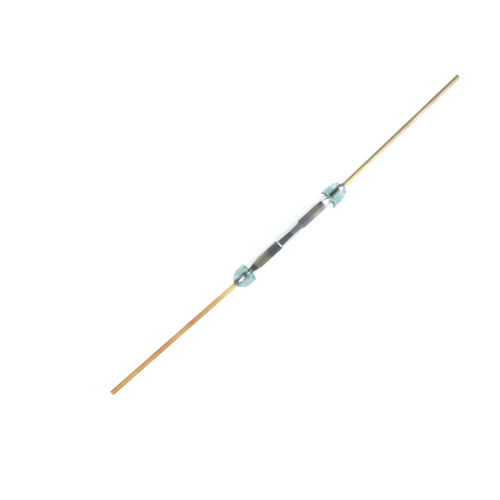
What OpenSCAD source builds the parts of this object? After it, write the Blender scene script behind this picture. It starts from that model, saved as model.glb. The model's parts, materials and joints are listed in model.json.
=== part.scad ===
// Glass reed switch: two reed wires, coined flat and sealed into the ends of a small glass tube.
// X runs along the tube, Z points up through the flat faces of the blades, and the origin is the
// middle of the glass. Reed A comes in from -X and lies above, reed B comes in from +X and lies below.
// Lengths are in millimetres and angles in degrees.

/* [Glass envelope] */
// Length of the glass over both seals
glass_l = 14; // [12:0.1:20]
// Outside diameter of the tube
glass_od = 1.95; // [1.8:0.05:2.6]
// Wall of the tube
glass_wall = 0.25; // [0.15:0.01:0.35]
// Solid glass at the end of reed A, measured along the wire
seal_a_l = 1.46; // [1.2:0.02:1.74]
// Solid glass at the end of reed B, measured along the wire
seal_b_l = 1.74; // [1.2:0.02:1.74]
// Length of the rounded end outside each seal
end_round_l = 1.1; // [0.7:0.05:1.5]
// Length of the domed end of the cavity inside each seal
dome_l = 0.5; // [0.3:0.05:0.9]
// Width of the flat ring where the glass meets the wire
seal_ring = 0.06; // [0.03:0.01:0.12]

/* [Leads] */
// Diameter of the reed wire
wire_d = 0.5; // [0.4:0.02:0.6]
// Length of each lead outside the glass
lead_l = 15.6; // [6:0.1:25]
// Angle by which each lead is set off the axis, towards +Y
lead_set = 1.1; // [0.5:0.1:6]
// Thickness of the plating on the lead
plating_t = 0.005; // [0.003:0.001:0.01]
// Bare wire between the glass and the start of the plating, where the lead is bent
stub_l = 0.15; // [0.05:0.01:0.4]
// Chamfer at the cut end of the lead
cut_chamfer = 0.05; // [0.02:0.01:0.1]

/* [Blades] */
// Start of the coined neck, measured inwards from the end of the glass
neck_in = 1.75; // [1.75:0.05:2.4]
// Length of the ramp that coins the round wire down to the blade
coin_l = 0.83; // [0.5:0.01:1.2]
// Height over the round wire at which the ramp starts
coin_runout = 0.01; // [0.005:0.005:0.06]
// Start of the widening, measured from the start of the ramp
flare_from = 0.35; // [0.1:0.05:0.6]
// Length over which the wire widens to the blade
flare_l = 1.4; // [1:0.1:2]
// Width of the thin part of the blade
paddle_w = 0.88; // [0.7:0.02:1.1]
// Thickness of the thin part, which bends
paddle_t = 0.18; // [0.12:0.01:0.24]
// Length over which the thin part narrows to the contact tongue
shoulder_l = 0.2; // [0.1:0.01:0.4]
// Length of the step in thickness, in the middle of that length
step_l = 0.15; // [0.06:0.01:0.2]
// Length of the contact tongue
tongue_l = 1.44; // [0.8:0.02:2]
// Width of the tongue at the shoulder
tongue_w = 0.6; // [0.5:0.02:0.68]
// Width of the tongue at the tip
tip_w = 0.48; // [0.3:0.02:0.6]
// Height of the round of the tip, seen from above
tip_bulge = 0.04; // [0.02:0.01:0.15]
// Thickness of the tongue
tongue_t = 0.26; // [0.18:0.01:0.36]

/* [Contact] */
// Overlap of the two tongues along the axis
overlap = 0.3; // [0.2:0.05:0.8]
// Gap between the open contact faces
contact_gap = 0.08; // [0.04:0.01:0.14]

/* [Hidden] */
$fn = 96;

wire_r = wire_d / 2;
glass_r = glass_od / 2;
cavity_r = glass_r - glass_wall;
seal_r = wire_r + seal_ring;

// Places along reed A, from the glass face inwards
face_x = -glass_l / 2;
neck_x = face_x + neck_in;
flex_x = neck_x + coin_l;
tip_x = overlap / 2;

// Slope of the blades that leaves the contact gap between the two tongues
tilt = asin((tongue_t + contact_gap) / (2 * -flex_x));

// The same places measured along the blade, from the start of the neck
tip_h = coin_l + (tip_x - flex_x) / cos(tilt);
tongue_h = tip_h - tongue_l;
shoulder_h = tongue_h - shoulder_l;
step_h = tongue_h - (shoulder_l + step_l) / 2;
flare_h = flare_from + flare_l;

// Radius of the round of the tip
tip_r = arc_radius(tip_w / 2, tip_bulge);

// Plated part of the lead, and how far the bent wire runs on inside the plating
lead_r = wire_r + plating_t;
plated_l = lead_l - stub_l;
plating_lap = plating_t / (2 * tan(lead_set));

glass_colour = [0.60, 0.82, 0.78, 0.45];
lead_colour = [0.80, 0.66, 0.44];
blade_colour = [0.47, 0.46, 0.46];

// Radius of an arc that leaves a straight line as its tangent and is off it by rise after run
function arc_radius(run, rise) = (run * run + rise * rise) / (2 * rise);

// Solid of revolution about X: in the outline, x is the radius and y is the place along X
module revolved() {
    rotate([0, 90, 0])
        rotate_extrude()
            children();
}

// Half outline of a round end that starts at big_r as a tangent and closes to small_r after length l
module round_end(l, small_r, big_r) {
    arc_r = arc_radius(l, big_r - small_r);
    intersection() {
        translate([big_r - arc_r, 0])
            circle(r = arc_r);
        square([big_r + arc_r, l]);
    }
}

// Half outline of a capsule of a given length and radius, with a round end either side
module capsule_outline(l, r, end_l, end_r) {
    straight = l / 2 - end_l;
    translate([0, -straight])
        square([r, 2 * straight]);
    for (side = [0, 1])
        mirror([0, side])
            translate([0, straight])
                round_end(end_l, end_r, r);
}

// The tube with its fused ends: outside, cavity and the two bores that the wires fill
module glass_envelope() {
    cavity_l = glass_l - seal_a_l - seal_b_l;
    cavity_x = (seal_a_l - seal_b_l) / 2;
    color(glass_colour)
        revolved()
            difference() {
                capsule_outline(glass_l, glass_r, end_round_l, seal_r);
                translate([0, cavity_x])
                    capsule_outline(cavity_l, cavity_r, dome_l, seal_r);
                translate([0, -glass_l])
                    square([wire_r, 2 * glass_l]);
            }
}

// Half width of the reed from the start of its neck to its tip, before it is coined flat
module reed_outline() {
    square([wire_r, flare_from]);
    translate([0, flare_h])
        mirror([0, 1])
            round_end(flare_l, wire_r, paddle_w / 2);
    translate([0, flare_h])
        square([paddle_w / 2, shoulder_h - flare_h]);
    polygon([[0, shoulder_h], [paddle_w / 2, shoulder_h], [tongue_w / 2, tongue_h], [0, tongue_h]]);
    intersection() {
        polygon([[0, tongue_h], [tongue_w / 2, tongue_h], [tip_w / 2, tip_h], [0, tip_h]]);
        union() {
            translate([0, tip_h - tip_r])
                circle(r = tip_r);
            square([paddle_w, tip_h - tip_r]);
        }
    }
}

// Slab across the full width, with the outline of the reed seen from its edge
module edge_slab() {
    rotate([90, 0, 0])
        linear_extrude(2 * paddle_w, center = true)
            children();
}

// Reed of a given edge view: the outline turned about X, pressed flat between the dies
module pressed(half_edge) {
    other_half = [for (i = [len(half_edge) - 1:-1:0]) [half_edge[i].x, -half_edge[i].y]];
    intersection() {
        revolved()
            reed_outline();
        edge_slab()
            polygon(concat(half_edge, other_half));
    }
}

// Round wire to flat blade: the ramps of the die leave a pointed flat above and below
module neck() {
    pressed([[0, wire_r + coin_runout], [coin_l, paddle_t / 2]]);
}

// Thin spring part, shoulder and thicker tongue, lying along X from the start of the neck
module flat_blade() {
    pressed([
        [0, paddle_t / 2],
        [step_h, paddle_t / 2],
        [step_h + step_l, tongue_t / 2],
        [tip_h, tongue_t / 2]
    ]);
}

// Wire from the neck out through the seal, and the plated lead that is set off its axis
module lead() {
    stub_x = face_x - stub_l;
    wire_x = stub_x - plating_lap;
    color(lead_colour) {
        translate([wire_x, 0, 0])
            rotate([0, 90, 0])
                cylinder(r = wire_r, h = neck_x - wire_x);
        translate([stub_x, 0, 0])
            rotate([0, 0, -lead_set])
                rotate([0, -90, 0])
                    plated_lead();
        translate([neck_x, 0, 0])
            neck();
    }
}

// Straight plated lead with its cut end
module plated_lead() {
    cylinder(r = lead_r, h = plated_l - cut_chamfer);
    translate([0, 0, plated_l - cut_chamfer])
        cylinder(r1 = lead_r, r2 = lead_r - cut_chamfer, h = cut_chamfer);
}

// Blade sloped about the line where it flexes, with its root cut flush with the neck
module blade() {
    color(blade_colour)
        intersection() {
            translate([flex_x, 0, 0])
                rotate([0, -tilt, 0])
                    translate([-coin_l, 0, 0])
                        flat_blade();
            translate([flex_x, -paddle_w, -glass_r])
                cube([tip_h, 2 * paddle_w, glass_od]);
        }
}

// Reed B is reed A turned half a turn about Y
module other_side() {
    rotate([0, 180, 0])
        children();
}

glass_envelope();
lead();  // lead_a
blade();  // blade_a
other_side() lead();  // lead_b
other_side() blade();  // blade_b
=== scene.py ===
"""Glass reed switch: a fused glass tube with two coined reeds that overlap inside it.

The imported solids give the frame. Every piece here keeps the form and place of the solid that it stands
for, with finer meshes and real finishes. Sizes are in millimetres and meshes in metres.
"""

import json
import logging
import math
from collections.abc import Iterable
from dataclasses import dataclass
from enum import Enum

import bmesh
import bpy
from mathutils import Matrix, Vector


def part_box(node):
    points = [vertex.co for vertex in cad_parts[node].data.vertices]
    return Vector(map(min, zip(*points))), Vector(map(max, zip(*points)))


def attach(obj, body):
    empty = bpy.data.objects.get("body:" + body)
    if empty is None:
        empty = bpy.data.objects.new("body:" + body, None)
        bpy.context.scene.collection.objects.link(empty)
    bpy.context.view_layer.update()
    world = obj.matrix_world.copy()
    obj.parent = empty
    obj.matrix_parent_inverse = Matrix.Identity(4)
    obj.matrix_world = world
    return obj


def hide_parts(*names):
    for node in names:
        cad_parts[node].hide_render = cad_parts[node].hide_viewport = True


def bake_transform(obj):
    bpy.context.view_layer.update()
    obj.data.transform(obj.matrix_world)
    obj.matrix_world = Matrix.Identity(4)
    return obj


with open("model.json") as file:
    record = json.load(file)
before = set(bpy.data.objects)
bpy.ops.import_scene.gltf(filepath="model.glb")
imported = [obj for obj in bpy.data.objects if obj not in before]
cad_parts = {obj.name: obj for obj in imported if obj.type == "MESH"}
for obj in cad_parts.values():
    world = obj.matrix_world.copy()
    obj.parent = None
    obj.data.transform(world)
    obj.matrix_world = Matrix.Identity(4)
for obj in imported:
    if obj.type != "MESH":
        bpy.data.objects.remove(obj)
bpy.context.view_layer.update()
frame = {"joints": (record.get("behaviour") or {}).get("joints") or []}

MM = 0.001
log = logging.getLogger("reed_switch")

Colour = tuple[float, float, float, float]
Stops = tuple[tuple[float, Colour], ...]

# Attributes of a reed's points: place along it in millimetres, and across it from -1 to 1
ALONG = "along"
ACROSS = "across"
# Sockets of a Mix node that mixes colours, and what follows its name where its result is taken
SHARE, FROM, TO = 0, 6, 7
MIXED = ":2"


class Body(str, Enum):
    """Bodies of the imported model."""

    CAPSULE = "capsule"
    REED_A = "reed_a"
    REED_B = "reed_b"


class Slot(str, Enum):
    """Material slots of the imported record."""

    GLASS = "sealing_glass"
    LEAD = "plated_lead"
    BLADE = "reed_blade"


class Side(Enum):
    """The two reeds: A comes in from -X and lies above, B is A turned half a turn about Y."""

    A = "a"
    B = "b"

    @property
    def turn(self) -> float:
        """Turn about Y, in radians, that takes reed A's place to this reed's."""
        return 0.0 if self is Side.A else math.pi

    @property
    def body(self) -> Body:
        """Body that this reed's blade moves with."""
        return Body.REED_A if self is Side.A else Body.REED_B


def linear(code: str) -> Colour:
    """Turns an sRGB hex colour into linear light.

    Args:
        code: Colour as "#rrggbb".

    Returns:
        Red, green, blue and an alpha of 1.
    """
    shares = [int(code[i : i + 2], 16) / 255 for i in (1, 3, 5)]
    light = [s / 12.92 if s <= 0.04045 else ((s + 0.055) / 1.055) ** 2.4 for s in shares]
    return (*light, 1.0)


def stops_along(rows: Iterable[tuple[float, str | float]], first: float, last: float) -> Stops:
    """Turns tones at places along a stretch into the stops of a colour ramp.

    Args:
        rows: Each place with its tone, a hex colour or a level of grey.
        first: Place where the ramp starts.
        last: Place where it ends.

    Returns:
        The stops, each a share of the stretch and a linear colour.
    """
    return tuple(
        ((place - first) / (last - first), linear(tone) if isinstance(tone, str) else (tone, tone, tone, 1.0))
        for place, tone in rows
    )


def add_node(
    tree: bpy.types.NodeTree,
    name: str,
    kind: str,
    inputs: dict[str | int, object] | None = None,
    stops: Stops = (),
    **settings: object,
) -> bpy.types.Node:
    """Adds one named node to a tree, with its settings and links.

    Args:
        tree: Tree that gets the node.
        name: Name of the node in the tree, by which later nodes link to it.
        kind: Blender's class of the node.
        inputs: For each input, by name or number, a value or "node" or "node:output" of this tree.
        stops: Places and colours of a colour ramp.
        settings: Properties of the node.

    Returns:
        The new node.
    """
    node = tree.nodes.new(kind)
    node.name = node.label = name
    for key, value in settings.items():
        setattr(node, key, value)
    for number, (place, colour) in enumerate(stops):
        elements = node.color_ramp.elements
        element = elements[number] if number < len(elements) else elements.new(place)
        element.position, element.color = place, colour
    for key, value in (inputs or {}).items():
        source, output = None, ""
        if isinstance(value, str):
            label, _, output = value.partition(":")
            source = tree.nodes.get(label)
        if source is None:
            node.inputs[key].default_value = value
        else:
            socket = int(output) if output.isdigit() else output or 0
            tree.links.new(source.outputs[socket], node.inputs[key])
    return node


def new_material(name: str) -> tuple[bpy.types.Material, bpy.types.NodeTree]:
    """Makes a material with an empty node tree.

    Args:
        name: Name of the material.

    Returns:
        The material and its tree.
    """
    material = bpy.data.materials.new(name)
    material.use_nodes = True
    material.node_tree.nodes.clear()
    return material, material.node_tree


def draw_lines(tree: bpy.types.NodeTree, line_mm: float, share: float, detail: float) -> None:
    """Starts a finish with a node "place" and a node "lines", a pattern of lines along X.

    Args:
        tree: Tree of the finish.
        line_mm: Width of a line.
        share: That width as a share of the line's length.
        detail: How many finer layers the pattern has.
    """
    across = 1 / (line_mm * MM)
    stretch = {"Vector": "place:Object", "Scale": (share * across, across, across)}
    add_node(tree, "place", "ShaderNodeTexCoord")
    add_node(tree, "drawn", "ShaderNodeMapping", stretch)
    add_node(tree, "lines", "ShaderNodeTexNoise", {"Vector": "drawn", "Scale": 1.0, "Detail": detail})


def end_metal(tree: bpy.types.NodeTree, colour: str, sheen: tuple[float, float], relief: float) -> None:
    """Ends a metal finish, with gloss and relief from its lines.

    Args:
        tree: Tree of the finish.
        colour: Name of the node that gives its colour.
        sheen: Least and greatest roughness.
        relief: Strength of the relief.
    """
    add_node(tree, "sheen", "ShaderNodeMapRange", {"Value": "lines", "To Min": sheen[0], "To Max": sheen[1]})
    add_node(tree, "relief", "ShaderNodeBump", {"Height": "lines", "Strength": relief, "Distance": 0.01 * MM})
    metal = {"Base Color": colour, "Metallic": 1.0, "Roughness": "sheen", "Normal": "relief"}
    add_node(tree, "metal", "ShaderNodeBsdfPrincipled", metal)
    add_node(tree, "out", "ShaderNodeOutputMaterial", {"Surface": "metal"})


@dataclass(frozen=True)
class FlameSealedGlass:
    """Infrared-absorbing potash glass, drawn to tube and flame-sealed.

    Thin walls are all but clear and the solid seals gather a sea green that is deepest beside the cavity;
    towards the outer ends the skin is painted paler as a painted reflection, and the melted skin is wavy and
    glossy.

    Attributes:
        tint: Colour that the glass gathers.
        depth_mm: Thickness over which it gathers.
        seal_mm: Start of the seals and end of the glass, from its middle.
        melt: Tint of the skin at places from the middle of the glass, painted paler at the outer ends as a
            painted reflection.
        skin_gloss: Weight of the glossy skin.
        ripple_mm: Width of the waves that melting leaves.
        draw_line_mm: Width of the lines that drawing leaves.
    """

    tint: str = "#4ebab6"
    depth_mm: float = 3.4
    seal_mm: tuple[float, float] = (5.0, 7.0)
    # Clear in the tube, sea green near the cavity, then paler at the outer ends: a painted reflection of the
    # light on the rounded ends
    melt: tuple[tuple[float, str], ...] = (
        (5.1, "#ffffff"), (5.4, "#cbebe4"), (5.9, "#cbebe4"), (6.24, "#f1edf7"),
    )
    skin_gloss: float = 0.6
    ripple_mm: float = 1.4
    draw_line_mm: float = 0.12

    def material(self) -> bpy.types.Material:
        """Builds the material.

        Returns:
            The new material.
        """
        material, tree = new_material("Infrared-absorbing glass, flame-sealed")
        draw_lines(tree, self.draw_line_mm, share=0.1, detail=1.0)
        waves = {"Vector": "place:Object", "Scale": 1 / (self.ripple_mm * MM), "Detail": 0.0}
        add_node(tree, "ripple", "ShaderNodeTexNoise", waves)
        add_node(tree, "skin", "ShaderNodeMath", {0: "lines", 1: 0.1, 2: "ripple"}, operation="MULTIPLY_ADD")
        add_node(tree, "wave", "ShaderNodeBump", {"Height": "skin", "Strength": 0.03, "Distance": 0.05 * MM})
        add_node(tree, "polish", "ShaderNodeMapRange", {"Value": "lines", "To Min": 0.0, "To Max": 0.01})
        add_node(tree, "split", "ShaderNodeSeparateXYZ", {0: "place:Object"})
        add_node(tree, "out from middle", "ShaderNodeMath", {0: "split:X"}, operation="ABSOLUTE")
        start, end = self.seal_mm
        seal = {"Value": "out from middle", "From Min": start * MM, "From Max": end * MM}
        add_node(tree, "into seal", "ShaderNodeMapRange", seal)
        stops = stops_along(self.melt, start, end)
        add_node(tree, "melt", "ShaderNodeValToRGB", {"Fac": "into seal"}, stops=stops)
        add_node(
            tree, "glass", "ShaderNodeBsdfPrincipled",
            {
                "Base Color": "melt",
                "Roughness": "polish",
                "IOR": 1.51,
                "Transmission Weight": 1.0,
                "Coat Weight": self.skin_gloss,
                "Normal": "wave",
            },
        )
        green = {"Color": linear(self.tint), "Density": 1 / (self.depth_mm * MM)}
        add_node(tree, "green", "ShaderNodeVolumeAbsorption", green)
        add_node(tree, "out", "ShaderNodeOutputMaterial", {"Surface": "glass", "Volume": "green"})
        return material


@dataclass(frozen=True)
class GoldFlashedWire:
    """Nickel-iron wire, drawn and then gold-flashed in a plating bath.

    A warm pale gold with an amber cast where the flash is thin, as at the cut end, palest where the seal's
    heat reached it, with painted shade and highlight round the wire, and fine lengthwise drawing lines.

    Attributes:
        heated: Colour beside the glass.
        straw, gold, amber: Colours of the flash from thick to thin.
        scuff: Colour of the worn lines.
        painted_flank_light: Shares of painted light and shade, by the place across the wire from -1 to 1.
        line_mm: Width of the drawing lines.
        blotch_mm: Size of the patches in the flash.
        heat_mm: Where the heated stretch starts to fade and is gone, from the middle of the glass.
        thin_mm: Where the flash starts to thin towards the cut end and is thinnest.
    """

    name: str
    heated: str
    straw: str
    gold: str
    amber: str
    scuff: str
    painted_flank_light: tuple[tuple[float, float], ...]
    line_mm: float = 0.07
    blotch_mm: float = 3.0
    heat_mm: tuple[float, float] = (7.7, 10.8)
    thin_mm: tuple[float, float] = (19.8, 21.8)

    def material(self) -> bpy.types.Material:
        """Builds the material.

        Returns:
            The new material.
        """
        material, tree = new_material(self.name)
        # Real drawing lines are a few microns wide; these are as coarse as a close view needs
        draw_lines(tree, self.line_mm, share=0.03, detail=2.0)
        patches = {"Vector": "place:Object", "Scale": 1 / (self.blotch_mm * MM), "Detail": 3.0}
        add_node(tree, "cloud", "ShaderNodeTexNoise", patches)
        stops = stops_along(((0.42, self.amber), (0.54, self.gold), (0.66, self.straw)), 0, 1)
        add_node(tree, "flash", "ShaderNodeValToRGB", {"Fac": "cloud"}, stops=stops)
        add_node(tree, "wire", "ShaderNodeAttribute", attribute_name=ALONG)
        # Painted shade and highlight round the wire, by the place across it
        add_node(tree, "girth", "ShaderNodeAttribute", attribute_name=ACROSS)
        add_node(tree, "round", "ShaderNodeMapRange", {"Value": "girth:Fac", "From Min": -1.0})
        add_node(tree, "flank", "ShaderNodeValToRGB", {"Fac": "round"}, stops=stops_along(self.painted_flank_light, -1, 1))
        far = {"Value": "wire:Fac", "From Min": -self.thin_mm[0], "From Max": -self.thin_mm[1]}
        add_node(tree, "thin", "ShaderNodeMapRange", far)
        thinned = {SHARE: "thin", FROM: "flash", TO: linear(self.amber)}
        add_node(tree, "thinned", "ShaderNodeMix", thinned, data_type="RGBA")
        near = {"Value": "wire:Fac", "From Min": -self.heat_mm[1], "From Max": -self.heat_mm[0]}
        add_node(tree, "heat", "ShaderNodeMapRange", near)
        warmed = {SHARE: "heat", FROM: "thinned" + MIXED, TO: linear(self.heated)}
        add_node(tree, "warmed", "ShaderNodeMix", warmed, data_type="RGBA")
        wear = {"Value": "lines", "From Min": 0.55, "From Max": 0.75, "To Max": 0.5}
        add_node(tree, "worn", "ShaderNodeMapRange", wear)
        rubbed = {SHARE: "worn", FROM: "warmed" + MIXED, TO: linear(self.scuff)}
        add_node(tree, "rubbed", "ShaderNodeMix", rubbed, data_type="RGBA")
        shaded = {0: "rubbed" + MIXED, 1: "flank"}
        add_node(tree, "colour", "ShaderNodeVectorMath", shaded, operation="MULTIPLY")
        end_metal(tree, "colour", sheen=(0.22, 0.42), relief=0.15)
        return material


@dataclass(frozen=True)
class CoinedNickelIron:
    """Nickel-iron reed wire, coined flat, heat-tinted by the seal and contact-plated at its tongue.

    Olive grey near the seal, cool grey along the blade and a darker blue grey on the tongue, with lines
    that the rolls and the die leave along it, painted light and shade along its edges and a painted glint on
    the step up to the tongue. In the seal one side of the wire is painted darker as shade, with a painted
    dark band along it. Places along the reed are in millimetres from the middle of the glass, as reed A lies.

    Attributes:
        sealed, oxide: Colours of the wire in the seal, as lit and under the painted shade on one side.
        neck, root, tinted, bare: Colours from the neck along the blade.
        burnished, contact, tip: Colours of the step up to the tongue, a painted glint, of the tongue and of
            its tip.
        seal_shade_end, tint_end: Where the painted shade on the wire in the seal and the heat tint end.
        near_rub: Shares of painted light and shade at the edge towards -Y: root, tinted blade, bare blade and
            tongue.
        far_rub: The same at the edge towards +Y.
        scorch: Middle and reach of the painted dark band across the wire, in millimetres, and its depth.
        painted_dark_band_start: Where the painted dark band begins and is full.
        flame_side: Where across the wire the painted shade begins and is full, in millimetres.
        seal_shade_fade: Length over which the painted shade ends.
        seal_shade_cover: Share of the wire's colour that the painted shade hides.
        edge: Place of the edges with painted light and shade, either side of the middle.
        line_mm: Width of the roll lines.
    """

    name: str
    sealed: str
    seal_shade_colour: str
    neck: str
    root: str
    tinted: str
    bare: str
    painted_step_glint: str
    contact: str
    tip: str
    seal_shade_end: float
    tint_end: float
    near_rub: tuple[float, float, float, float]
    far_rub: tuple[float, float, float, float]
    scorch: tuple[float, float, float]
    painted_dark_band_start: tuple[float, float] = (-6.3, -6.05)
    flame_side: tuple[float, float] = (-0.14, 0.06)
    seal_shade_fade: float = 0.15
    seal_shade_cover: float = 0.9
    edge: float = 0.3
    line_mm: float = 0.2

    def tints(self) -> tuple[tuple[float, str], ...]:
        """Gives the colours along the reed.

        Returns:
            Places along the reed and the colour at each.
        """
        return (
            (-5.6, self.sealed), (-5.4, self.neck), (-4.46, self.neck), (-4.41, self.root),
            (-3.9, self.root), (-3.6, self.tinted), (-3.2, self.tinted), (self.tint_end, self.bare),
            # The step up to the tongue carries a painted glint
            (-1.47, self.bare), (-1.45, self.painted_step_glint), (-1.33, self.painted_step_glint), (-1.3, self.contact),
            (-0.3, self.contact), (-0.09, self.tip),
        )

    @staticmethod
    def rubs(shares: tuple[float, float, float, float]) -> tuple[tuple[float, float], ...]:
        """Spreads an edge's shares of light along the reed.

        Args:
            shares: Shares on the root, the tint, the bare blade and the tongue.

        Returns:
            Places along the reed and the share at each.
        """
        root, tinted, bare, tongue = shares
        return (
            (-4.46, 1.0), (-4.41, root), (-4.15, root), (-3.8, tinted), (-3.1, tinted),
            (-2.4, bare), (-1.47, bare), (-1.3, tongue),
        )

    def material(self) -> bpy.types.Material:
        """Builds the material.

        Returns:
            The new material.
        """
        material, tree = new_material(self.name)
        # Real roll lines are hundredths of a millimetre apart; these are as coarse as the view needs
        draw_lines(tree, self.line_mm, share=0.04, detail=3.0)
        add_node(tree, "reed", "ShaderNodeAttribute", attribute_name=ALONG)
        tints = self.tints()
        first, last = tints[0][0], tints[-1][0]
        whole = {"Value": "reed:Fac", "From Min": first, "From Max": last}
        add_node(tree, "share", "ShaderNodeMapRange", whole)
        stops = stops_along(tints, first, last)
        add_node(tree, "tint", "ShaderNodeValToRGB", {"Fac": "share"}, stops=stops)
        add_node(tree, "split", "ShaderNodeSeparateXYZ", {0: "place:Object"})

        # Painted shade on one side of the wire in the seal
        heated = {"Value": "reed:Fac", "From Min": self.seal_shade_end - self.seal_shade_fade, "From Max": self.seal_shade_end}
        heated |= {"To Min": self.seal_shade_cover, "To Max": 0.0}
        add_node(tree, "heated", "ShaderNodeMapRange", heated)
        begins, full = self.flame_side
        side = {"Value": "split:Y", "From Min": begins * MM, "From Max": full * MM}
        add_node(tree, "flame side", "ShaderNodeMapRange", side)
        add_node(tree, "film", "ShaderNodeMath", {0: "heated", 1: "flame side"}, operation="MULTIPLY")
        film = {SHARE: "film", FROM: "tint", TO: linear(self.seal_shade_colour)}
        add_node(tree, "oxidised", "ShaderNodeMix", film, data_type="RGBA")

        # Painted dark band along the wire in the seal
        middle, reach, depth = self.scorch
        off = {0: "split:Y", 1: middle * MM}
        add_node(tree, "from scorch", "ShaderNodeMath", off, operation="SUBTRACT")
        add_node(tree, "off scorch", "ShaderNodeMath", {0: "from scorch"}, operation="ABSOLUTE")
        band = {"Value": "off scorch", "From Max": reach * MM, "To Min": depth, "To Max": 0.0}
        add_node(tree, "scorch band", "ShaderNodeMapRange", band, interpolation_type="SMOOTHSTEP")
        begins, full = self.painted_dark_band_start
        hottest = {"Value": "reed:Fac", "From Min": begins, "From Max": full}
        add_node(tree, "hottest", "ShaderNodeMapRange", hottest)
        add_node(tree, "hot band", "ShaderNodeMath", {0: "scorch band", 1: "hottest"}, operation="MULTIPLY")
        add_node(tree, "scorch", "ShaderNodeMath", {0: "hot band", 1: "heated"}, operation="MULTIPLY")
        add_node(tree, "unscorched", "ShaderNodeMath", {0: 1.0, 1: "scorch"}, operation="SUBTRACT")

        # Painted light and shade along the edges, and the ridges of the roll lines
        edges = (("near edge", -self.edge, self.near_rub), ("far edge", self.edge, self.far_rub))
        for name, edge, worn in edges:
            greys = stops_along(self.rubs(worn), first, last)
            add_node(tree, f"{name} rub", "ShaderNodeValToRGB", {"Fac": "share"}, stops=greys)
            half = {"Value": "split:Y", "From Max": edge * MM, "To Min": 1.0, "To Max": f"{name} rub"}
            add_node(tree, name, "ShaderNodeMapRange", half, interpolation_type="SMOOTHSTEP")
        add_node(tree, "rub", "ShaderNodeMath", {0: "near edge", 1: "far edge"}, operation="MULTIPLY")
        ridges = {"Value": "lines", "From Min": 0.3, "From Max": 0.7, "To Min": 0.65, "To Max": 1.4}
        add_node(tree, "mark", "ShaderNodeMapRange", ridges)
        add_node(tree, "worn", "ShaderNodeMath", {0: "mark", 1: "rub"}, operation="MULTIPLY")
        add_node(tree, "wear", "ShaderNodeMath", {0: "worn", 1: "unscorched"}, operation="MULTIPLY")
        shaded = {0: "oxidised" + MIXED, 1: "wear"}
        add_node(tree, "shade", "ShaderNodeVectorMath", shaded, operation="MULTIPLY")
        end_metal(tree, "shade", sheen=(0.24, 0.44), relief=0.2)
        return material


@dataclass(frozen=True)
class OpalPanel:
    """Opal acrylic panel for the floor, cast matt and lit from below.

    An even white with a faintly uneven milkiness.

    Attributes:
        pale: Colour where the panel is milkiest.
        cloudy: Colour between.
        cloud_mm: Size of the uneven patches.
        light: Colour of the light from below.
        glow: Its strength.
    """

    pale: str = "#7c7c7c"
    cloudy: str = "#787878"
    cloud_mm: float = 40.0
    light: str = "#ffffff"
    glow: float = 0.8

    def material(self) -> bpy.types.Material:
        """Builds the material.

        Returns:
            The new material.
        """
        material, tree = new_material("Opal acrylic, matt and lit from below")
        add_node(tree, "place", "ShaderNodeTexCoord")
        patches = {"Vector": "place:Object", "Scale": 1 / (self.cloud_mm * MM), "Detail": 2.0}
        add_node(tree, "clouds", "ShaderNodeTexNoise", patches)
        stops = stops_along(((0.4, self.cloudy), (0.6, self.pale)), 0, 1)
        add_node(tree, "milk", "ShaderNodeValToRGB", {"Fac": "clouds"}, stops=stops)
        add_node(
            tree, "panel", "ShaderNodeBsdfPrincipled",
            {
                "Base Color": "milk",
                "Roughness": 0.9,
                "Specular IOR Level": 0.0,
                "Emission Color": linear(self.light),
                "Emission Strength": self.glow,
            },
        )
        add_node(tree, "out", "ShaderNodeOutputMaterial", {"Surface": "panel"})
        return material


# Each lead's flanks are painted light and shade: lead A darker on its -Y flank, lead B with a painted dark
# line along its +Y flank and a painted highlight beside it
LEAD_FINISH = {
    Side.A: GoldFlashedWire(
        "Nickel-iron wire, drawn and gold-flashed, full",
        heated="#ecd89e", straw="#d4b87e", gold="#d4ad7a", amber="#c99b68", scuff="#a07f58",
        painted_flank_light=((-1.0, 0.7), (-0.7, 0.74), (-0.4, 0.87), (-0.1, 0.95), (0.3, 1.0), (1.0, 1.1)),
    ),
    Side.B: GoldFlashedWire(
        "Nickel-iron wire, drawn and gold-flashed, thin",
        heated="#ecd9a4", straw="#e0d4b6", gold="#dacdb0", amber="#d0c09c", scuff="#948a74",
        painted_flank_light=(
            (-1.0, 0.75), (-0.8, 0.85), (-0.5, 1.25), (-0.25, 1.45), (-0.05, 1.4),
            (0.15, 0.75), (0.35, 0.55), (0.6, 0.6), (1.0, 0.9),
        ),
    ),
}
# Reed A's finish is a shaded copy and reed B's a lit copy of one metal, so their necks, blades and tongues
# differ as painted shade and light. A's near-black neck is painted shade; B's pale neck and near-white wire
# in the seal are painted highlights, and B's darker tip is a painted shadow of A's tip
REED_FINISH = {
    Side.A: CoinedNickelIron(
        "Nickel-iron reed, coined and contact-plated, shaded copy",
        sealed="#c4c4c8", seal_shade_colour="#84888d", neck="#161514", root="#766e5a", tinted="#76705d",
        bare="#302e35", painted_step_glint="#666670", contact="#5a5b62", tip="#3c424a",
        seal_shade_end=-5.55, tint_end=-2.55, scorch=(-0.03, 0.22, 0.75),
        near_rub=(1.2, 1.3, 2.0, 1.6), far_rub=(1.75, 1.6, 2.6, 0.15),
    ),
    Side.B: CoinedNickelIron(
        "Nickel-iron reed, coined and contact-plated, lit copy",
        sealed="#fbf8fb", seal_shade_colour="#74787d", neck="#c4c2c0", root="#766a6b", tinted="#847f75",
        bare="#65616a", painted_step_glint="#84848c", contact="#6f7279", tip="#6a7077",
        seal_shade_end=-5.25, tint_end=-2.1, scorch=(0.1, 0.15, 0.88),
        near_rub=(3.5, 2.7, 2.3, 1.5), far_rub=(0.0, 0.7, 0.95, 0.95),
    ),
}


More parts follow.
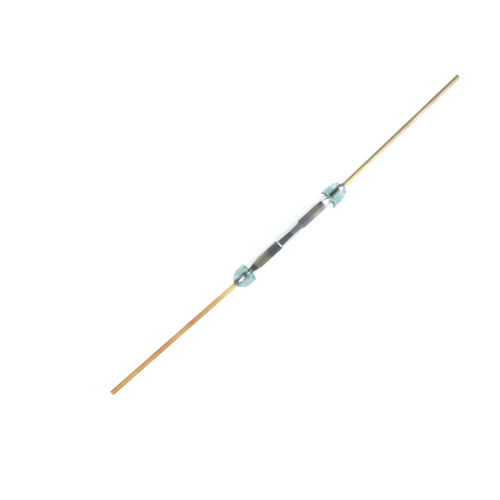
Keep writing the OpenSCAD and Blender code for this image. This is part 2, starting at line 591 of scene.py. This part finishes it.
def new_tree(name: str, inputs: dict[str, str]) -> bpy.types.NodeTree:
    """Makes a Geometry Nodes tree with named inputs and a node "sizes" that gives them.

    Args:
        name: Name of the tree.
        inputs: Kind of socket for each input after the geometry, by the input's name.

    Returns:
        The tree.
    """
    tree = bpy.data.node_groups.new(name, "GeometryNodeTree")
    tree.interface.new_socket("Geometry", in_out="INPUT", socket_type="NodeSocketGeometry")
    for label, kind in inputs.items():
        tree.interface.new_socket(label, in_out="INPUT", socket_type=f"NodeSocket{kind}")
    tree.interface.new_socket("Geometry", in_out="OUTPUT", socket_type="NodeSocketGeometry")
    add_node(tree, "sizes", "NodeGroupInput")
    return tree


def made_by(
    tree: bpy.types.NodeTree, name: str, values: dict[str, object], start: bpy.types.Mesh | None = None
) -> bpy.types.Object:
    """Runs a Geometry Nodes tree once and keeps its result as a plain mesh.

    Args:
        tree: Tree to run.
        name: Name of the new piece.
        values: Value of each named input.
        start: Mesh that the tree starts from, or none.

    Returns:
        The piece, with no modifier left on it.
    """
    piece = bpy.data.objects.new(name, start or bpy.data.meshes.new(name))
    bpy.context.scene.collection.objects.link(piece)
    modifier = piece.modifiers.new(tree.name, "NODES")
    modifier.node_group = tree
    for socket in tree.interface.items_tree:
        if socket.in_out == "INPUT" and socket.name in values:
            modifier[socket.identifier] = values[socket.name]
    graph = bpy.context.evaluated_depsgraph_get()
    made = piece.evaluated_get(graph)
    mesh = bpy.data.meshes.new_from_object(made, preserve_all_data_layers=True, depsgraph=graph)
    piece.modifiers.clear()
    piece.data = mesh
    mesh.name = name
    return piece


def tidy(piece: bpy.types.Object, corner_deg: float = 40.0, merge: float = 1e-7) -> None:
    """Merges doubles, points the faces outwards and keeps real corners sharp.

    Args:
        piece: Piece to tidy.
        corner_deg: Angle between faces from which an edge counts as a corner.
        merge: Distance up to which points are one, in metres.
    """
    shape = bmesh.new()
    shape.from_mesh(piece.data)
    bmesh.ops.remove_doubles(shape, verts=shape.verts, dist=merge)
    bmesh.ops.recalc_face_normals(shape, faces=shape.faces)
    shape.to_mesh(piece.data)
    shape.free()
    piece.data.shade_smooth()
    piece.data.set_sharp_from_angle(angle=math.radians(corner_deg))


@dataclass
class GlassEnvelope:
    """The glass tube with its two fused ends."""

    length: float
    radius: float
    wall: float = 0.25
    seal_a: float = 1.46
    seal_b: float = 1.74
    end_round: float = 1.1
    dome: float = 0.5
    ring: float = 0.06
    wire_radius: float = 0.25
    wetting: float = 0.015
    arc_steps: int = 40
    sides: int = 160

    def outline(self) -> list[tuple[float, float]]:
        """Works out the closed outline of the glass wall.

        Returns:
            Places along X and radii, in millimetres, once round the wall.
        """
        half = self.length / 2
        ring = self.wire_radius + self.ring
        # The wire bites a little into the glass, as the melt wets it
        bore = self.wire_radius - self.wetting
        outside = self.round_end(half, self.end_round, ring, self.radius)
        half_outline = [(half, bore), *outside]
        back = [(-x, r) for x, r in reversed(half_outline)]
        inner_a, inner_b = (
            [(end, bore), *self.round_end(end, self.dome, ring, self.radius - self.wall)]
            for end in (half - self.seal_a, half - self.seal_b)
        )
        return [*half_outline, *back, *[(-x, r) for x, r in inner_a], *reversed(inner_b)]

    def round_end(self, place: float, run: float, small: float, large: float) -> list[tuple[float, float]]:
        """Works out an arc that closes from a straight wall to a ring.

        Args:
            place: Where the arc ends, along X.
            run: Length of the arc along X.
            small: Radius of the ring.
            large: Radius of the straight wall.

        Returns:
            Places and radii from the ring back to the wall.
        """
        rise = large - small
        arc = (run * run + rise * rise) / (2 * rise)
        whole = math.acos(1 - rise / arc)
        turns = [whole * (1 - i / self.arc_steps) for i in range(self.arc_steps + 1)]
        return [(place - run + arc * math.sin(t), large - arc + arc * math.cos(t)) for t in turns]

    def lathe(self) -> bpy.types.NodeTree:
        """Builds the tree that sweeps an outline once round the axis.

        Returns:
            The tree.
        """
        tree = new_tree("Glass lathe", {"Sides": "Int", "Radius": "Float", "Finish": "Material"})
        add_node(tree, "wall", "GeometryNodeMeshToCurve", {"Mesh": "sizes:Geometry"})
        circle = {"Resolution": "sizes:Sides", "Radius": "sizes:Radius"}
        add_node(tree, "way", "GeometryNodeCurvePrimitiveCircle", circle)
        add_node(tree, "swept", "GeometryNodeCurveToMesh", {"Curve": "way", "Profile Curve": "wall"})
        quarter = (0.0, -math.pi / 2, 0.0)
        add_node(tree, "laid", "GeometryNodeTransform", {"Geometry": "swept", "Rotation": quarter})
        add_node(tree, "smooth", "GeometryNodeSetShadeSmooth", {"Geometry": "laid"})
        add_node(tree, "real", "GeometryNodeRealizeInstances", {"Geometry": "smooth"})
        add_node(tree, "finish", "GeometryNodeSetMaterial", {"Geometry": "real", "Material": "sizes:Finish"})
        add_node(tree, "out", "NodeGroupOutput", {"Geometry": "finish"})
        return tree

    def build(self, finish: bpy.types.Material) -> bpy.types.Object:
        """Builds the envelope.

        Args:
            finish: Material of the glass.

        Returns:
            The finished piece.
        """
        way = self.radius / 2
        wall = bpy.data.meshes.new("glass_wall")
        shape = bmesh.new()
        points = [shape.verts.new(((r - way) * MM, x * MM, 0.0)) for x, r in self.outline()]
        for here, there in zip(points, points[1:] + points[:1]):
            shape.edges.new((here, there))
        shape.to_mesh(wall)
        shape.free()
        values = {"Sides": self.sides, "Radius": way * MM, "Finish": finish}
        piece = made_by(self.lathe(), "fused_glass_envelope", values, wall)
        tidy(piece)
        return piece

    def dress(self, piece: bpy.types.Object) -> None:
        """Joins the envelope to the frame.

        Args:
            piece: The finished envelope.
        """
        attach(piece, Body.CAPSULE.value)
        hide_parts("glass_envelope")


@dataclass
class Reed:
    """One reed: round lead, length in the seal, coined neck, thin blade and contact tongue."""

    side: Side
    glass_face: float
    flex: float
    lead: float = 15.6
    stub: float = 0.15
    lead_set_deg: float = 1.1
    wire_radius: float = 0.25
    plating: float = 0.005
    cut_chamfer: float = 0.05
    coin: float = 0.83
    coin_runout: float = 0.01
    flare_from: float = 0.35
    flare: float = 1.4
    paddle_width: float = 0.88
    paddle_thick: float = 0.18
    shoulder: float = 0.2
    step: float = 0.15
    tongue: float = 1.44
    tongue_width: float = 0.6
    tip_width: float = 0.48
    tip_bulge: float = 0.04
    tongue_thick: float = 0.26
    edge_radius: float = 0.045
    overlap: float = 0.3
    gap: float = 0.08
    ring_step: float = 0.0125
    sides: int = 48
    # How far the rounds of the tip run before they would close to a point, as shares of the whole round
    nose_share: float = 0.985
    nose_edge_share: float = 0.95

    @property
    def tilt(self) -> float:
        """Slope of the blade that leaves the contact gap open, in radians."""
        return math.asin((self.tongue_thick + self.gap) / (2 * -self.flex))

    @property
    def tip(self) -> float:
        """Place of the tip, measured along the reed as if it were straight."""
        return self.flex + (self.overlap / 2 - self.flex) / math.cos(self.tilt)

    def sizes(self) -> dict[str, float]:
        """Works out the sizes of the rule that the reed's section follows.

        Returns:
            Lengths in metres, the slope of the lead and angles in radians, by the rule's names for them.
        """
        tongue = self.tip - self.tongue
        neck = self.flex - self.coin
        lengths = {
            "Lead End": self.glass_face - self.lead,
            "Cut Chamfer": self.cut_chamfer,
            "Cut Inside": self.glass_face - self.lead + self.cut_chamfer,
            "Plating": self.plating,
            "Stub": self.glass_face - self.stub,
            "Plating Start": self.glass_face - self.stub - 2 * self.ring_step,
            "Wire Radius": self.wire_radius,
            "Neck": neck,
            "Flex": self.flex,
            "Bent": self.flex + self.paddle_thick,
            "Flare Start": neck + self.flare_from,
            "Flare End": neck + self.flare_from + self.flare,
            "Blade Half Width": self.paddle_width / 2,
            "Flare Rise": self.paddle_width / 2 - self.wire_radius,
            "Blade Half Thickness": self.paddle_thick / 2,
            "Coin Rise": self.wire_radius + self.coin_runout - self.paddle_thick / 2,
            "Shoulder": tongue - self.shoulder,
            "Tongue": tongue,
            "Tongue Half Width": self.tongue_width / 2,
            "Tongue Rise": (self.tongue_thick - self.paddle_thick) / 2,
            "Step": tongue - (self.shoulder + self.step) / 2,
            "Step End": tongue - (self.shoulder - self.step) / 2,
            "Tip": self.tip,
            "Tip Narrowing": (self.tongue_width - self.tip_width) / 2,
            "Tip Half Width": self.tip_width / 2,
            "Tip Round": self.tip - self.tip_bulge,
            "Tip Edge": self.tip - self.edge_radius,
            "Edge Radius": self.edge_radius,
        }
        slope = math.tan(math.radians(self.lead_set_deg))
        angles = {"Lead Slope": slope, "Tilt": -self.tilt, "Turn": self.side.turn}
        return {name: length * MM for name, length in lengths.items()} | angles

    def rule(self) -> bpy.types.NodeTree:
        """Builds the tree that forms a span of a reed from a round bar, ring by ring.

        Returns:
            The tree, which serves both reeds.
        """
        floats = dict.fromkeys(["From", "To", *self.sizes()], "Float")
        kinds = floats | {"Rings": "Int", "Sides": "Int", "Outside": "Material", "Inside": "Material"}
        tree = new_tree("Reed rule", kinds)
        size = "sizes:"
        math_node, ramp = "ShaderNodeMath", "ShaderNodeMapRange"
        bar = {"Vertices": "sizes:Sides", "Side Segments": "sizes:Rings", "Radius": 1.0, "Depth": 1.0}
        add_node(tree, "bar", "GeometryNodeMeshCylinder", bar, fill_type="NGON")
        add_node(tree, "place", "GeometryNodeInputPosition")
        add_node(tree, "split", "ShaderNodeSeparateXYZ", {0: "place"})
        ends = {"From Min": -0.5, "From Max": 0.5, "To Min": "sizes:From", "To Max": "sizes:To"}
        add_node(tree, "t", ramp, {"Value": "split:Z", **ends})

        # Each row is a share that runs over a stretch of the reed: name, start, end, value before and after
        stretches = (
            ("flare", "Flare Start", "Flare End", 1.0, 0.0),
            ("coin", "Neck", "Flex", 1.0, 0.0),
            ("narrow", "Shoulder", "Tongue", size + "Blade Half Width", size + "Tongue Half Width"),
            ("taper", "Tongue", "Tip", 0.0, size + "Tip Narrowing"),
            ("thicken", "Step", "Step End", 0.0, size + "Tongue Rise"),
            ("nose", "Tip Round", "Tip", 0.0, self.nose_share),
            ("nose edge", "Tip Edge", "Tip", 0.0, self.nose_edge_share),
            ("edge", "Neck", "Flex", size + "Wire Radius", size + "Edge Radius"),
            ("plating", "Stub", "Plating Start", 0.0, size + "Plating"),
            ("chamfer", "Lead End", "Cut Inside", size + "Cut Chamfer", 0.0),
            ("lean", "Flex", "Bent", 0.0, size + "Tilt"),
        )
        for name, start, end, before, after in stretches:
            span = {"From Min": size + start, "From Max": size + end, "To Min": before, "To Max": after}
            add_node(tree, name, ramp, {"Value": "t", **span})

        # Which side of the section a point is on, with the points on the middle lines left there
        for name, axis in (("across", "X"), ("up", "Y")):
            sign = {"From Min": -0.001, "From Max": 0.001, "To Min": -1.0, "To Max": 1.0}
            add_node(tree, f"{name} sign", ramp, {"Value": f"split:{axis}", **sign})

        # Each row is one sum of the rule: name, operation, and what it takes
        sums = (
            ("flare square", "MULTIPLY", "flare", "flare"),
            ("flare loss", "MULTIPLY", "flare square", size + "Flare Rise"),
            ("flared", "SUBTRACT", size + "Blade Half Width", "flare loss"),
            ("trimmed", "MINIMUM", "flared", "narrow"),
            ("tapered", "SUBTRACT", "trimmed", "taper"),
            ("nose square", "MULTIPLY", "nose", "nose"),
            ("nose rest", "SUBTRACT", 1.0, "nose square"),
            ("nose share", "SQRT", "nose rest"),
            ("nose cut", "SUBTRACT", 1.0, "nose share"),
            ("nose loss", "MULTIPLY", "nose cut", size + "Tip Half Width"),
            ("half width", "SUBTRACT", "tapered", "nose loss"),
            ("die", "MULTIPLY_ADD", "coin", size + "Coin Rise", size + "Blade Half Thickness"),
            ("coined", "MINIMUM", "die", size + "Wire Radius"),
            ("thick", "ADD", "coined", "thicken"),
            ("edge square", "MULTIPLY", "nose edge", "nose edge"),
            ("edge rest", "SUBTRACT", 1.0, "edge square"),
            ("edge share", "SQRT", "edge rest"),
            ("edge cut", "SUBTRACT", 1.0, "edge share"),
            ("edge loss", "MULTIPLY", "edge cut", size + "Edge Radius"),
            ("half thick", "SUBTRACT", "thick", "edge loss"),
            ("grown", "SUBTRACT", "plating", "chamfer"),
            ("width", "ADD", "half width", "grown"),
            ("height", "ADD", "half thick", "grown"),
            ("round limit", "MINIMUM", "half width", "half thick"),
            ("round core", "MINIMUM", "edge", "round limit"),
            ("round", "ADD", "round core", "grown"),
            ("flat width", "SUBTRACT", "width", "round"),
            ("flat height", "SUBTRACT", "height", "round"),
            ("y round", "MULTIPLY", "split:X", "round"),
            ("y", "MULTIPLY_ADD", "across sign", "flat width", "y round"),
            ("z round", "MULTIPLY", "split:Y", "round"),
            ("z", "MULTIPLY_ADD", "up sign", "flat height", "z round"),
            ("outside", "SUBTRACT", size + "Stub", "t"),
            ("reach", "MAXIMUM", "outside", 0.0),
            ("set y", "MULTIPLY_ADD", "reach", size + "Lead Slope", "y"),
            ("millimetres", "DIVIDE", "t", MM),
        )
        for name, operation, *taken in sums:
            add_node(tree, name, math_node, dict(enumerate(taken)), operation=operation)

        add_node(tree, "point", "ShaderNodeCombineXYZ", {"X": "t", "Y": "set y", "Z": "z"})
        add_node(tree, "hinge", "ShaderNodeCombineXYZ", {"X": "sizes:Flex"})
        bend = {"Vector": "point", "Center": "hinge", "Angle": "lean"}
        add_node(tree, "leaned", "ShaderNodeVectorRotate", bend, rotation_type="Y_AXIS")
        shape = "bar:Mesh"
        for name, label, value in (("marked", ALONG, "millimetres"), ("sided", ACROSS, "split:X")):
            mark = {"Geometry": shape, "Name": label, "Value": value}
            add_node(tree, name, "GeometryNodeStoreNamedAttribute", mark, data_type="FLOAT", domain="POINT")
            shape = name
        add_node(tree, "formed", "GeometryNodeSetPosition", {"Geometry": shape, "Position": "leaned"})
        add_node(tree, "half turn", "ShaderNodeCombineXYZ", {"Y": "sizes:Turn"})
        add_node(tree, "laid", "GeometryNodeTransform", {"Geometry": "formed", "Rotation": "half turn"})
        add_node(tree, "smooth", "GeometryNodeSetShadeSmooth", {"Geometry": "laid"})
        add_node(tree, "real", "GeometryNodeRealizeInstances", {"Geometry": "smooth"})
        add_node(tree, "mark", "GeometryNodeInputNamedAttribute", {"Name": ALONG}, data_type="FLOAT")
        add_node(tree, "bare start", math_node, {0: "sizes:Stub", 1: MM}, operation="DIVIDE")
        add_node(tree, "is bare", math_node, {0: "mark", 1: "bare start"}, operation="GREATER_THAN")
        add_node(tree, "plated", "GeometryNodeSetMaterial", {"Geometry": "real", "Material": "sizes:Outside"})
        inside = {"Geometry": "plated", "Selection": "is bare", "Material": "sizes:Inside"}
        add_node(tree, "finish", "GeometryNodeSetMaterial", inside)
        add_node(tree, "out", "NodeGroupOutput", {"Geometry": "finish"})
        return tree

    def build(
        self, tree: bpy.types.NodeTree, plated: bpy.types.Material, bare: bpy.types.Material
    ) -> tuple[bpy.types.Object, bpy.types.Object]:
        """Builds the lead and the blade from the one rule.

        Args:
            tree: The rule's tree.
            plated: Material of the lead outside the glass.
            bare: Material of the reed inside it.

        Returns:
            The lead and the blade, each a closed mesh.
        """
        sizes = self.sizes() | {"Sides": self.sides, "Outside": plated, "Inside": bare}
        spans = {
            f"reed_{self.side.value}_lead": (sizes["Lead End"], sizes["Flex"]),
            f"reed_{self.side.value}_blade": (sizes["Flex"], sizes["Tip"]),
        }
        pieces = []
        for name, (start, end) in spans.items():
            rings = round((end - start) / (self.ring_step * MM))
            piece = made_by(tree, name, sizes | {"From": start, "To": end, "Rings": rings})
            tidy(piece)
            pieces.append(piece)
        return tuple(pieces)

    def dress(self, lead: bpy.types.Object, blade: bpy.types.Object) -> None:
        """Joins the lead to the capsule and bakes the blade's place into its mesh.

        Args:
            lead: The lead, which stays in the glass.
            blade: The blade.
        """
        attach(lead, Body.CAPSULE.value)
        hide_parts(f"lead_{self.side.value}")
        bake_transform(blade)
        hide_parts(f"blade_{self.side.value}")


@dataclass(frozen=True)
class Softbox:
    """Soft oval light that faces the switch, with its middle and sides in millimetres and power in watts."""

    name: str
    middle: tuple[float, float, float]
    width: float
    height: float
    power: float

    def hang(self) -> None:
        """Hangs the light."""
        lamp = bpy.data.lights.new(self.name, "AREA")
        lamp.shape = "ELLIPSE"
        lamp.size, lamp.size_y, lamp.energy = self.width * MM, self.height * MM, self.power
        light = bpy.data.objects.new(self.name, lamp)
        bpy.context.scene.collection.objects.link(light)
        place = Vector(self.middle)
        light.location = place * MM
        light.rotation_euler = (-place).to_track_quat("-Z", "Y").to_euler()


@dataclass(frozen=True)
class LightTent:
    """Tent of white cloth round the switch, with a dim strip across it and a dim skirt.

    Attributes:
        cloth: Brightness along the tent, from the near end at -1 to the far end at 1.
        beside: Least brightness beside the dim strip.
        strip: Where the dim strip starts to fade sideways and is gone.
        skirt: Greatest brightness of the skirt.
        hem: Heights up to which the skirt is full and where it is gone.
    """

    cloth: tuple[tuple[float, float], ...] = (
        (-1.0, 2.5), (-0.6, 2.5), (-0.3, 1.2), (0.05, 0.72), (0.18, 0.68), (0.3, 0.6),
        (0.42, 0.3), (0.5, 0.12), (0.68, 0.12), (0.8, 1.2), (0.9, 2.5), (1.0, 2.5),
    )
    beside: float = 0.7
    strip: tuple[float, float] = (0.3, 0.5)
    skirt: float = 0.6
    hem: tuple[float, float] = (0.3, 0.5)

    def pitch(self) -> None:
        """Makes the tent the world's light."""
        world = bpy.data.worlds.new("Soft dome")
        bpy.context.scene.world = world
        world.use_nodes = True
        tree = world.node_tree
        tree.nodes.clear()
        add_node(tree, "way", "ShaderNodeTexCoord")
        add_node(tree, "split", "ShaderNodeSeparateXYZ", {0: "way:Generated"})
        add_node(tree, "share", "ShaderNodeMapRange", {"Value": "split:X", "From Min": -1.0, "From Max": 1.0})
        add_node(tree, "tent", "ShaderNodeValToRGB", {"Fac": "share"}, stops=stops_along(self.cloth, -1, 1))
        # The dim strip is a flag over the switch alone, so the cloth beside it stays light
        start, end = self.strip
        add_node(tree, "side", "ShaderNodeMath", {0: "split:Y"}, operation="ABSOLUTE")
        add_node(tree, "beside", "ShaderNodeMapRange", {"Value": "side", "From Min": start, "From Max": end})
        light = {SHARE: "beside", FROM: "tent", TO: (*[self.beside] * 3, 1.0)}
        add_node(tree, "cloth", "ShaderNodeMix", light, data_type="RGBA", blend_type="LIGHTEN")
        # The tent stands on a dim skirt, so that a low view along the switch isn't washed out
        start, end = self.hem
        fade = {"Value": "split:Z", "From Min": start, "From Max": end, "To Min": 1.0, "To Max": 0.0}
        add_node(tree, "low", "ShaderNodeMapRange", fade)
        dim = {SHARE: "low", FROM: "cloth" + MIXED, TO: (*[self.skirt] * 3, 1.0)}
        add_node(tree, "skirted", "ShaderNodeMix", dim, data_type="RGBA", blend_type="DARKEN")
        add_node(tree, "sky", "ShaderNodeBackground", {"Color": "skirted" + MIXED, "Strength": 1.0})
        add_node(tree, "out", "ShaderNodeOutputWorld", {"Surface": "sky"})


@dataclass
class Studio:
    """Floor, soft light and the camera of the photograph.

    Attributes:
        floor_z: Height of the floor, in metres.
        frame_px: Side of the photograph, in pixels.
        px_per_mm: Its scale along the switch.
        middle_px: Where the middle of the glass is in it, from the left and from the top.
        axis_deg: Angle of the switch in it.
        lean_deg: Angle of the camera off straight above.
        lean_towards_deg: Direction of that lean, from +X.
        distance: Way from the camera to the switch.
        sensor: Width of the camera's sensor.
        clip: Nearest and farthest that the camera sees.
        floor_half: Half of the floor's side, so wide that a low view barely shows its edge.
        floor_cells: Cells along the floor's side.
        softboxes: Lights inside the tent.
    """

    floor_z: float
    frame_px: int = 500
    px_per_mm: float = 10.43
    middle_px: tuple[float, float] = (289.75, 234.85)
    axis_deg: float = 42.4
    lean_deg: float = 10.5
    lean_towards_deg: float = 172.0
    distance: float = 280.0
    sensor: float = 36.0
    clip: tuple[float, float] = (1.0, 10000.0)
    floor_half: float = 8000.0
    floor_cells: int = 8
    softboxes: tuple[Softbox, ...] = (
        Softbox("top_softbox", (-88, 0, 308), 300, 130, 0.31),
        Softbox("near_end_softbox", (-212, -15, 198), 100, 335, 1.1),
        Softbox("far_end_softbox", (275, 0, 120), 200, 90, 0.3),
        Softbox("side_softbox", (0, -285, 95), 320, 170, 0.17),
    )

    def lay_floor(self) -> bpy.types.Object:
        """Lays the panel that the switch rests on.

        Returns:
            The floor.
        """
        mesh = bpy.data.meshes.new("floor")
        shape = bmesh.new()
        cells = self.floor_cells
        bmesh.ops.create_grid(shape, x_segments=cells, y_segments=cells, size=self.floor_half * MM)
        bmesh.ops.translate(shape, verts=shape.verts, vec=(0, 0, self.floor_z))
        shape.to_mesh(mesh)
        shape.free()
        floor = bpy.data.objects.new("floor", mesh)
        bpy.context.scene.collection.objects.link(floor)
        mesh.materials.append(OpalPanel().material())
        return floor

    def set_light(self) -> None:
        """Pitches the tent and hangs soft lights above, at both ends and at the side."""
        LightTent().pitch()
        for softbox in self.softboxes:
            softbox.hang()

    def set_camera(self) -> None:
        """Sets the camera of the photograph, almost straight above and leaning towards reed A."""
        lean, towards = math.radians(self.lean_deg), math.radians(self.lean_towards_deg)
        side = Vector((math.cos(towards), math.sin(towards), 0))
        back = side * math.sin(lean) + Vector((0, 0, 1)) * math.cos(lean)
        along = Vector((1, 0, 0))
        drawn = along - back * along.dot(back)
        first = drawn.normalized()
        second = back.cross(first)
        turn = math.radians(self.axis_deg)
        right = first * math.cos(turn) - second * math.sin(turn)
        up = first * math.sin(turn) + second * math.cos(turn)
        middle = self.frame_px / 2
        px_per_mm = self.px_per_mm / drawn.length
        aim = right * (middle - self.middle_px[0]) / px_per_mm + up * (self.middle_px[1] - middle) / px_per_mm
        place = (aim + back * self.distance) * MM
        camera_data = bpy.data.cameras.new("camera")
        camera_data.sensor_width = self.sensor
        camera_data.lens = px_per_mm * self.distance * self.sensor / self.frame_px
        camera_data.clip_start, camera_data.clip_end = (end * MM for end in self.clip)
        camera = bpy.data.objects.new("camera", camera_data)
        bpy.context.scene.collection.objects.link(camera)
        camera.matrix_world = Matrix.Translation(place) @ Matrix((right, up, back)).transposed().to_4x4()
        bpy.context.scene.camera = camera
        bpy.context.scene.view_settings.view_transform = "Standard"


def flex_place() -> float:
    """Reads the place of reed A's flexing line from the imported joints, in millimetres."""
    return next(j["pos_m"][0] for j in frame["joints"] if j["child"] == Body.REED_A.value) / MM


def main() -> None:
    """Builds, dresses and lights the switch, and logs how many faces each piece has."""
    logging.basicConfig(level=logging.INFO, format="%(name)s: %(message)s")
    low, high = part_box("glass_envelope")
    length, radius = (high.x - low.x) / MM, (high.z - low.z) / 2 / MM
    studio = Studio(floor_z=low.z)
    studio.set_camera()
    studio.lay_floor()
    studio.set_light()

    reeds = [Reed(side, glass_face=-length / 2, flex=flex_place()) for side in Side]
    rule = reeds[0].rule()
    pieces = []
    for reed in reeds:
        plated, bare = LEAD_FINISH[reed.side].material(), REED_FINISH[reed.side].material()
        lead, blade = reed.build(rule, plated, bare)
        reed.dress(lead, blade)
        pieces += [lead, blade]
    glass = GlassEnvelope(length, radius)
    envelope = glass.build(FlameSealedGlass().material())
    glass.dress(envelope)
    pieces.append(envelope)
    for piece in pieces:
        log.info("%s: %d faces", piece.name, len(piece.data.polygons))


if __name__ == "__main__":
    main()
